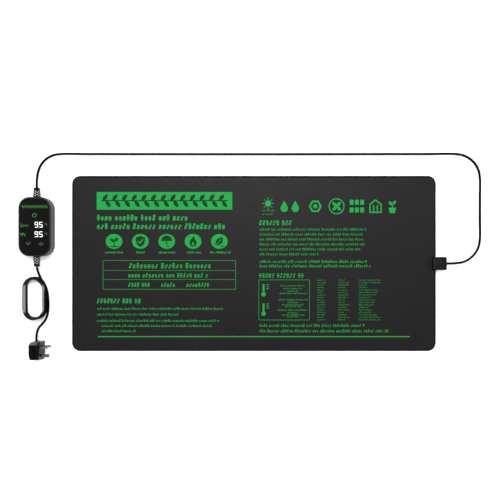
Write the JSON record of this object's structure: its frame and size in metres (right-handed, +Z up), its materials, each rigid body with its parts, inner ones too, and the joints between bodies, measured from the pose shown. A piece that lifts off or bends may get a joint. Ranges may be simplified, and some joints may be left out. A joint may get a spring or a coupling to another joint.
{
  "type": "seedling heat mat",
  "caption": "Thin rectangular heating mat for seed trays, with a cable block on one edge, an inline thermostat with a digital display, and a folded mains lead with a right-angle plug.",
  "frame": {"origin": "centre of the mat's underside, on the surface that it lies on", "axes": "+Z up out of the heating surface, +X along the mat's length to the edge that the lead leaves, +Y along its width to the side that the lead is led round"},
  "size_m": [0.6665, 0.2977, 0.022],
  "materials": {
    "cover_vinyl": "fine-grained matte vinyl film",
    "print_green": "screen-printed ink",
    "insulation": "white felt",
    "foil": "plain foil",
    "heating_wire": "silicone-coated resistance wire",
    "cord_black": "satin vinyl jacket",
    "black_plastic": "moulded, satin",
    "case_front": "moulded, satin",
    "case_rear": "moulded, satin",
    "face_gloss": "gloss",
    "display_digits": "lit segments",
    "display_body": "satin",
    "circuit_board": "solder-masked laminate",
    "component": "moulded",
    "film_yellow": "gloss",
    "steel": "zinc plated",
    "pin_metal": "nickel-plated",
    "glass": "clear",
    "carrier_plastic": "natural nylon"
  },
  "bodies": {
    "root": {"bottom_cover": "cover_vinyl", "insulation_pad": "insulation", "heating_wire": "heating_wire", "heat_spreader_foil": "foil", "temperature_sensor": "component", "sensor_lead": "cord_black", "top_cover": "cover_vinyl", "entry_block_lower": "black_plastic", "entry_block_upper": "black_plastic", "splice_sleeve_1": "component", "splice_sleeve_2": "component", "splice_sleeve_3": "component", "case_rear_shell": "case_rear", "case_front_shell": "case_front", "case_screw_1": "steel", "case_screw_2": "steel", "case_screw_3": "steel", "case_screw_4": "steel", "face_panel": "face_gloss", "display_window": "face_gloss", "circuit_board": "circuit_board", "upper_display_module": "display_body", "lower_display_module": "display_body", "power_switch": "component", "down_switch": "component", "up_switch": "component", "relay": "component", "supply_capacitor": "film_yellow", "microcontroller": "component", "board_fuse": "glass", "upper_cord_clamp": "black_plastic", "lower_cord_clamp": "black_plastic", "upper_strain_relief": "black_plastic", "lower_strain_relief": "black_plastic", "plug_body": "black_plastic", "plug_face_plate": "black_plastic", "pin_carrier": "carrier_plastic", "line_pin": "pin_metal", "neutral_pin": "pin_metal", "earth_pin": "pin_metal", "plug_fuse": "glass", "plug_cord_grip": "carrier_plastic", "mat_lead": "cord_black", "plug_lead_upper": "cord_black", "plug_lead_hank": "cord_black", "plug_lead_lower": "cord_black"},
    "power_key": {"power_key": "face_gloss"},
    "down_key": {"down_key": "face_gloss"},
    "up_key": {"up_key": "face_gloss"}
  },
  "joints": [
    {"name": "power_key_press", "type": "slide", "parent": "root", "child": "power_key", "axis": [0, 0, -1], "range_m": [0, 0.0005], "stiffness_N_per_m": 400},
    {"name": "down_key_press", "type": "slide", "parent": "root", "child": "down_key", "axis": [0, 0, -1], "range_m": [0, 0.0005], "stiffness_N_per_m": 400},
    {"name": "up_key_press", "type": "slide", "parent": "root", "child": "up_key", "axis": [0, 0, -1], "range_m": [0, 0.0005], "stiffness_N_per_m": 400}
  ]
}
